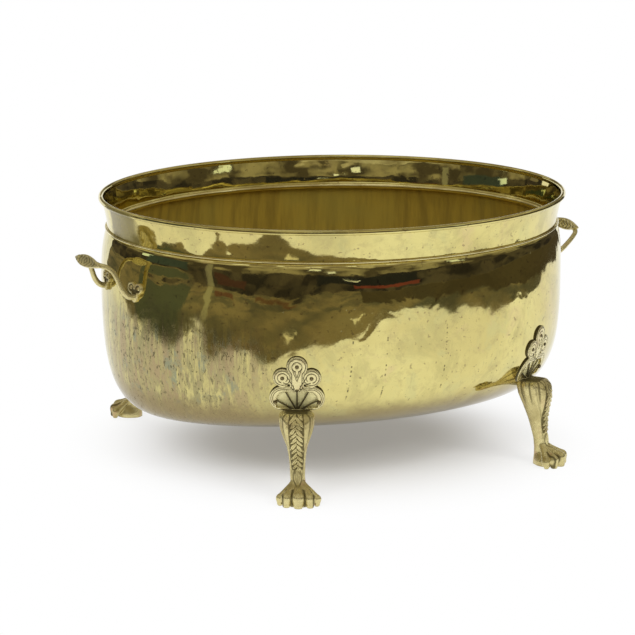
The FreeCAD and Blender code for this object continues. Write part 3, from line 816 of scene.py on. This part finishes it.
def sheet_brass(name):
    """Hand-polished sheet: bright, with clouds of tarnish, streaks, flecks and pits, and painted
    reflections low down and behind the fans.

    Places along X, Y and Z are in metres.
    """
    p = Paint(name)
    along, across, height = p.axis("X"), p.axis("Y"), p.axis("Z")
    large = p.noise(10, 4, 0.6, 0.4)
    medium = p.noise(34, 5, 0.62, 0.6)
    color = p.mix(p.ramp(large, 0.36, 0.66), BRIGHT, WARM)
    color = p.mix(p.ramp(medium, 0.52, 0.70, 0, 0.45), color, (0.58, 0.555, 0.25))
    for noise, start, full, strength, tone in TARNISH:
        color = p.lay(color, tone, p.ramp(p.noise(*noise), start, full), strength)
    # worn, spotted tarnish low down at the left end
    zone = p.times(p.ramp(along, -0.125, -0.19), p.ramp(across, 0.10, -0.02),
                   p.ramp(p.plus(height, large, 0.03), 0.192, 0.150))
    streak = p.noise(150, 6, 0.72, 0.25, (1, 1, 0.13))
    broad = p.noise(70, 5, 0.65, 0.3, (1, 1, 0.2))
    spots = p.noise(330, 4, 0.7, 0.0, (1, 1, 0.55))
    film = p.times(zone, p.ramp(streak, 0.43, 0.54))
    tint = p.mix(p.ramp(broad, 0.40, 0.60), (0.36, 0.32, 0.15), (0.42, 0.32, 0.17))
    tint = p.mix(p.ramp(p.noise(48, 4, 0.6), 0.52, 0.64), tint, (0.29, 0.30, 0.19))
    worn = p.times(zone, p.ramp(broad, 0.42, 0.56, 0.25, 0.8))
    color = p.mix(worn, color, (0.38, 0.325, 0.155))
    color = p.lay(color, tint, film, 0.9)
    specks = p.times(zone, p.ramp(spots, 0.56, 0.62))
    color = p.lay(color, (0.17, 0.15, 0.075), specks, 0.72)
    # thin streaks that run down all round
    thin = p.times(p.ramp(p.noise(190, 6, 0.75, 0.2, (1, 1, 0.10)), 0.55, 0.66),
                   p.ramp(height, 0.20, 0.10))
    color = p.lay(color, (0.36, 0.30, 0.15), p.ramp(thin, 0.0, 1.0), 0.22)
    # pits eaten into the sheet
    pits = p.times(p.ramp(p.cells(135), 0.085, 0.05), p.ramp(p.noise(30, 2), 0.57, 0.63))
    color = p.lay(color, (0.08, 0.06, 0.04), pits, 0.85)
    # rows of pits, one over the other, on the front flank
    dots = p.ramp(p.noise(430, 2, 0.5, 0, (0.02, 0.02, 1)), 0.52, 0.60)
    for place in PIT_ROWS:
        off = p.math("ABSOLUTE", p.math("SUBTRACT", along, place))
        row = p.times(p.ramp(off, 0.0008, 0.0004), p.ramp(across, -0.10, -0.12),
                      p.ramp(height, 0.160, 0.150), p.ramp(height, 0.088, 0.096), dots)
        color = p.lay(color, (0.10, 0.08, 0.04), row, 0.8)
    # a brown patch on the neck over the left handle
    dull_inside = p.share("inside")
    place = p.plus(across, medium, 0.03)
    patch = p.times(p.ramp(height, 0.2172, 0.2190), p.ramp(along, -0.20, -0.21),
                    p.ramp(place, -0.020, -0.008), p.ramp(place, 0.048, 0.036),
                    p.math("SUBTRACT", 1.0, dull_inside))
    color = p.lay(color, (0.17, 0.135, 0.03), patch, 0.85)
    # painted reflection of the shaded floor under the pot: brown toward the underside
    under = p.ramp(p.plus(height, medium, 0.02), 0.104, 0.078)
    color = p.lay(color, (0.28, 0.215, 0.10), under, 0.84)
    # dull inside below the neck, and a painted reflection of the pale floor behind the fans
    below_neck = p.times(dull_inside, p.ramp(height, 0.2190, 0.2165))
    inside = p.mix(p.ramp(p.noise(120, 5, 0.65, 0, (1, 1, 0.10)), 0.35, 0.7),
                   (0.40, 0.275, 0.036), (0.26, 0.178, 0.026))
    inside = p.mix(p.ramp(p.noise(14, 3), 0.4, 0.7, 0, 0.5), inside, (0.33, 0.27, 0.05))
    color = p.mix(below_neck, color, inside)
    # painted reflection: a paler, duller, less metallic sheet behind the fans
    hidden = p.share("painted_reflection_behind_fan")
    color = p.lay(color, (0.86, 0.80, 0.42), hidden, 0.9)
    rough = p.ramp(large, 0.3, 0.8, 0.035, 0.085)
    for share, more in ((hidden, 0.34), (film, 0.12), (patch, 0.16), (specks, 0.25),
                        (below_neck, 0.36)):
        rough = p.plus(rough, share, more)
    rough = p.math("ADD", rough, p.ramp(p.noise(430, 3, 0.7), 0.5, 0.8, 0, 0.05), clamp=True)
    metal = 1.0
    for share, less in ((below_neck, 0.55), (hidden, 0.55), (patch, 0.5)):
        metal = p.plus(metal, share, -less)
    normal = p.bump(p.noise(34, 1.5, 0.5, 0.6), 0.11, 0.0035)
    normal = p.bump(p.noise(95, 3, 0.5), 0.04, 0.0012, normal)
    normal = p.bump(streak, p.times(zone, 0.25), 0.0006, normal)
    normal = p.bump(p.math("SUBTRACT", 1.0, pits), 0.5, 0.0006, normal)
    return p.finish(color, rough, normal, metal)


def wire_brass(name):
    p = Paint(name)
    wear = p.noise(40, 4, 0.6)
    color = p.mix(p.ramp(wear, 0.35, 0.7), (0.88, 0.79, 0.42), (0.66, 0.56, 0.27))
    rough = p.ramp(wear, 0.3, 0.8, 0.08, 0.22)
    return p.finish(color, rough, p.bump(p.noise(160, 3), 0.15, 0.001))


def cast_brass(name):
    """Satin cast brass, greyer than the sheet, with dirt and painted shade darkening its hollows.
    """
    p = Paint(name)
    grime_and_shade, crest = p.share("grime_and_shade"), p.share("crest")
    grain = p.noise(310, 5, 0.7)
    blotch = p.noise(42, 4, 0.6)
    color = p.mix(p.ramp(blotch, 0.35, 0.68), (0.72, 0.63, 0.30), (0.50, 0.42, 0.18))
    color = p.lay(color, (0.80, 0.72, 0.38), crest, 0.75)
    copper = p.ramp(p.axis("Z"), 0.055, 0.02, 0.25, 0.8)
    color = p.lay(color, (0.56, 0.37, 0.20), p.ramp(p.noise(75, 3), 0.54, 0.68), copper)
    color = p.mix(p.ramp(grain, 0.52, 0.78, 0, 0.40), color, (0.27, 0.225, 0.10))
    deep = p.mix(crest, (0.135, 0.108, 0.040), (0.060, 0.046, 0.018))
    # dirt, and painted shade in hollows, along edges and under overhangs, darken the casting here
    color = p.mix(p.ramp(grime_and_shade, 0.12, 0.80, 0, 0.92), color, deep)
    rough = p.plus(p.ramp(blotch, 0.3, 0.8, 0.22, 0.36), crest, -0.06)
    rough = p.math("ADD", rough, p.times(grime_and_shade, 0.30), clamp=True)
    normal = p.bump(grain, 0.30, 0.0007)
    normal = p.bump(p.noise(110, 3), 0.32, 0.0013, normal)
    return p.finish(color, rough, normal, 0.82)


def rivet_brass(name):
    p = Paint(name)
    wear = p.noise(300, 3, 0.6)
    color = p.mix(p.ramp(wear, 0.4, 0.7), (0.26, 0.21, 0.10), (0.12, 0.095, 0.05))
    return p.finish(color, p.ramp(wear, 0.3, 0.8, 0.35, 0.6), p.bump(wear, 0.4, 0.0008))


def iron_wire(name):
    p = Paint(name)
    rust = p.noise(180, 4, 0.6)
    color = p.mix(p.ramp(rust, 0.4, 0.7), (0.30, 0.29, 0.28), (0.20, 0.11, 0.07))
    return p.finish(color, p.ramp(rust, 0.3, 0.8, 0.35, 0.7), p.bump(rust, 0.3, 0.0008))


# ---------------------------------------------------------------------- put it together
sheets = [make_bowl(), make_neck()]
wires = [make_wire("neck_bead_wire", "neck_bead", BEAD_RADIUS,
                   NECK_FOOT - BEAD_RADIUS - SEAM_GAP, THROAT + BEAD_RISE),
         make_wire("throat_ring_wire", "throat_ring", RING_RADIUS,
                   THROAT_INSET + GAUGE + RING_STAND, THROAT)]
castings = make_legs() + [
    make_handle("handle_left", -1, LEFT_ARM, math.radians(-59), (261.4, 202.6)),
    make_handle("handle_right", 1, RIGHT_ARM, math.radians(-98), (271.4, 191.0))]

polished, drawn = sheet_brass("polished_sheet"), wire_brass("drawn_wire")
casting = cast_brass("casting")
for pieces, material in ((sheets, polished), (wires, drawn), (castings, casting)):
    for piece in pieces:
        piece.data.materials.append(material)
kept = {"leg_rivets": rivet_brass("rivets"), "handle_rivets": casting,
        "rim_wire": iron_wire("hidden_wire")}
for name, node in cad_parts.items():
    for start, material in kept.items():
        if name.startswith(start):
            node.data.materials.clear()
            node.data.materials.append(material)
for piece in sheets + wires + castings:
    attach(piece, "root")


# ----------------------------------------------------------------------------- stage
VIEW = 0.523
FLOOR_REACH = 9.0
STUDIO_RADIUS, WALL_TOP, ROOF_FOOT = 3.2, 0.72, 1.5
CARD_RADIUS = 3.0
ON_FLOOR = 0.001
LEFT_END, RIGHT_END = -136, 152
LAMP_AIM = Vector((0, 0, 0.1))
AMBIENT = 0.72


def stage_material(name, color, clouds=None):
    """A plain glow; clouds, if given, are a noise's scale and a second colour."""
    p = Paint(name)
    if clouds is not None:
        scale, other = clouds
        color = p.mix(p.ramp(p.noise(scale, 2, 0.5), 0.42, 0.60, kind="LINEAR"), color, other)
    return p.surface(p.glow(color))


def stage_mesh(name, points, faces, material, only_mirrored=True):
    mesh = bpy.data.meshes.new(name)
    mesh.from_pydata(points, [], faces)
    item = bpy.data.objects.new(name, mesh)
    bpy.context.scene.collection.objects.link(item)
    mesh.materials.append(material)
    if only_mirrored:
        item.visible_camera = False
        item.visible_diffuse = False
        item.visible_shadow = False
        item.visible_transmission = False


def floor_paper():
    """White paper: it takes the pot's shadow, lightened by painted glow, and runs out into plain
    white.
    """
    p = Paint("paper")
    paper = p.node("ShaderNodeBsdfDiffuse")
    paper.inputs["Color"].default_value = (0.90, 0.90, 0.895, 1)
    length = p.node("ShaderNodeVectorMath", operation="LENGTH")
    p.feed(length.inputs[0], p.coords)
    # seen directly or mirrored, the paper near the pot is a fifth painted white glow, which
    # lightens its shadow; further out it is all glow
    away = p.ramp(length.outputs["Value"], 0.09, 0.27, 0.2)
    mix = p.node("ShaderNodeMixShader")
    p.feed(mix.inputs[0], p.times(p.seen(), away))
    p.feed(mix.inputs[1], paper.outputs[0])
    p.feed(mix.inputs[2], p.glow((1, 1, 1)).outputs[0])
    return p.surface(mix)


stage_mesh("floor", [(-FLOOR_REACH, -FLOOR_REACH, 0), (FLOOR_REACH, -FLOOR_REACH, 0),
                     (FLOOR_REACH, FLOOR_REACH, 0), (-FLOOR_REACH, FLOOR_REACH, 0)],
           [(0, 1, 2, 3)], floor_paper(), only_mirrored=False)


# The dark studio beyond the paper, seen only in the metal.  Directions are degrees round
# the pot: 0 lies toward the camera and they grow toward the picture's right.
def way(degrees):
    turn = VIEW + math.pi - math.radians(degrees)
    return math.sin(turn), math.cos(turn)


def sheet_between(name, low, high, start, end, material, steps=180):
    """A card round the pot between two edges, each given as radius and height."""
    points, faces = [], []
    for k in range(steps + 1):
        degrees = start + (end - start) * k / steps
        x, y = way(degrees)
        for radius, level in (low(degrees), high(degrees)):
            points.append((radius * x, radius * y, level))
    for k in range(steps):
        faces.append((2 * k, 2 * k + 2, 2 * k + 3, 2 * k + 1))
    stage_mesh(name, points, faces, material)


# where the white paper ends: direction and distance
PAPER_EDGE = ((-180, 1.2), (-136, 1.1), (-110, 0.9), (-98, 0.8), (-75, 0.73), (-61, 0.62),
              (-57, 0.80), (-52, 0.88), (-46, 0.60), (-42, 0.51), (-37, 0.62), (-30, 0.57),
              (-20, 0.44), (-14, 0.45), (-8, 0.54), (0, 0.60), (16, 0.65), (32, 0.82), (45, 0.98),
              (56, 0.99), (60, 0.85), (106, 0.97), (130, 1.4), (180, 2.6))


def paper_edge(degrees):
    at = np.interp(degrees, *zip(*PAPER_EDGE))
    ragged = 1 + 0.03 * math.sin(degrees * 0.21) + 0.02 * math.sin(degrees * 0.47 + 1)
    return at * ragged, ON_FLOOR


def ring(radius, level):
    """The same edge all round."""
    return lambda degrees: (radius, level)


for name, low, high, start, end, color, clouds in (
        ("studio_floor", paper_edge, ring(STUDIO_RADIUS, ON_FLOOR), LEFT_END, RIGHT_END,
         (0.245, 0.200, 0.118), (2.6, (0.105, 0.098, 0.070))),
        ("studio_wall", ring(STUDIO_RADIUS, 0.0), ring(STUDIO_RADIUS, WALL_TOP), LEFT_END,
         RIGHT_END, (0.030, 0.026, 0.024), (2.2, (0.090, 0.075, 0.055))),
        ("studio_upper", ring(STUDIO_RADIUS, WALL_TOP), ring(STUDIO_RADIUS, ROOF_FOOT), 0, 360,
         (0.075, 0.062, 0.044), (1.3, (0.34, 0.30, 0.20))),
        ("studio_roof", ring(STUDIO_RADIUS, ROOF_FOOT), ring(0.5, 3.0), 0, 360,
         (0.25, 0.21, 0.14), (1.4, (0.56, 0.52, 0.40)))):
    sheet_between(name + "_card", low, high, start, end, stage_material(name, color, clouds))


def card(name, degrees, width, low, high, color):
    """A bright or coloured patch on the studio's wall, sizes in degrees and metres."""
    sheet_between(name, ring(CARD_RADIUS, low), ring(CARD_RADIUS * 0.98, high),
                  degrees - width / 2, degrees + width / 2, stage_material(name, color), 8)


def floor_patch(name, start, end, near, far, color, level=0.003):
    """A patch of another colour lying on the studio's floor, with a ragged near edge."""
    def edge(degrees):
        ragged = 1 + 0.05 * math.sin(degrees * 0.9) + 0.03 * math.sin(degrees * 2.3)
        return near * ragged, level
    sheet_between(name, edge, ring(far, level), start, end, stage_material(name, color), 40)


floor_patch("floor_teal", -93, -61, 0.78, 2.6, (0.085, 0.095, 0.070))
floor_patch("floor_red", -46, -36, 1.45, 2.3, (0.135, 0.070, 0.045))
floor_patch("floor_brown", -22, -4, 1.7, 2.4, (0.130, 0.075, 0.042))
floor_patch("floor_pale", -50.5, -47.5, 0.9, 3.0, (0.330, 0.310, 0.210), 0.004)
floor_patch("floor_dark", 22, 152, 1.25, 3.1, (0.075, 0.060, 0.036))
floor_patch("floor_glint", -10.5, -5.0, 0.69, 0.76, (0.85, 0.80, 0.62), 0.004)
floor_patch("floor_glint_right", 16.5, 23.5, 0.84, 0.91, (0.85, 0.80, 0.62), 0.004)
card("window_a", 3, 5, 1.02, 1.25, (0.95, 1.0, 1.0))
card("window_b", 11.5, 4, 0.78, 0.95, (0.95, 1.0, 1.0))
card("window_c", 19, 5, 0.42, 0.52, (0.95, 1.0, 1.0))
card("window_d", 68.5, 6, 0.98, 1.40, (0.9, 1.0, 0.98))
card("window_e", -92, 8, 0.55, 0.85, (0.8, 0.95, 0.95))
card("shelf_red", 34, 30, 0.12, 0.26, (0.17, 0.045, 0.035))
card("shelf_dark", 26, 44, 0.26, 0.62, (0.022, 0.022, 0.024))
card("shelf_blue", -76, 30, 0.10, 0.95, (0.050, 0.068, 0.070))
card("post_pale", -49, 4, 0.02, 1.2, (0.26, 0.25, 0.19))
card("shelf_brown", -36, 16, 0.15, 0.50, (0.070, 0.036, 0.030))
for number, (degrees, radius, level, width) in enumerate((
        (3, 2.75, 1.70, 9), (-13, 2.6, 1.80, 5), (21, 2.7, 1.72, 6), (42, 2.6, 1.83, 6),
        (-34, 2.75, 1.68, 9), (-60, 2.6, 1.80, 14), (-84, 2.75, 1.70, 6), (72, 2.7, 1.74, 7),
        (95, 2.5, 1.84, 12), (-120, 2.5, 1.86, 12), (126, 2.7, 1.72, 6), (170, 2.6, 1.8, 12))):
    sheet_between("roof_light_%d" % number, ring(radius, level), ring(radius - 0.25, level + 0.12),
                  degrees - width / 2, degrees + width / 2,
                  stage_material("roof_light", (1.0, 1.0, 0.96)), 8)


def lamp(name, place, size, power):
    """An area lamp that looks at the pot and isn't mirrored in it."""
    light = bpy.data.lights.new(name, "AREA")
    light.shape = "RECTANGLE"
    light.size, light.size_y = size
    light.energy = power
    item = bpy.data.objects.new(name, light)
    item.location = place
    toward = LAMP_AIM - Vector(place)
    item.rotation_euler = toward.to_track_quat("-Z", "Y").to_euler()
    item.visible_glossy = False
    bpy.context.scene.collection.objects.link(item)


lamp("key", (0.5, -2.3, 1.9), (1.6, 1.2), 30)
lamp("fill", (-1.8, -1.2, 1.6), (1.4, 1.0), 19)
lamp("back", (0.3, 1.6, 2.2), (1.8, 1.0), 12)

world = Paint("studio", "World")
background = world.node("ShaderNodeBackground")
background.inputs["Color"].default_value = (1, 1, 1, 1)
world.feed(background.inputs["Strength"], world.ramp(world.seen(), 0, 1, AMBIENT, 1.0))
bpy.context.scene.world = world.surface(background)

# ---------------------------------------------------------------------------- camera
turn, tilt, roll, far = VIEW, 0.226, 0.01, 2.4935
SENSOR, LENS = 36.0, 146.3131
aim = Vector((-0.017, 0.0, 0.1238))
back = Vector((-math.sin(turn) * math.cos(tilt), -math.cos(turn) * math.cos(tilt), math.sin(tilt)))
right = Vector((math.cos(turn), -math.sin(turn), 0))
up = back.cross(right)
rolled_right = right * math.cos(roll) + up * math.sin(roll)
rolled_up = up * math.cos(roll) - right * math.sin(roll)
view = bpy.data.cameras.new("camera")
view.sensor_width, view.lens = SENSOR, LENS
view.clip_start, view.clip_end = 0.05, 50
camera = bpy.data.objects.new("camera", view)
spot = aim + back * far
camera.matrix_world = Matrix((
    (rolled_right.x, rolled_up.x, back.x, spot.x),
    (rolled_right.y, rolled_up.y, back.y, spot.y),
    (rolled_right.z, rolled_up.z, back.z, spot.z),
    (0, 0, 0, 1)))
bpy.context.scene.collection.objects.link(camera)
bpy.context.scene.camera = camera
bpy.context.scene.view_settings.view_transform = "Standard"
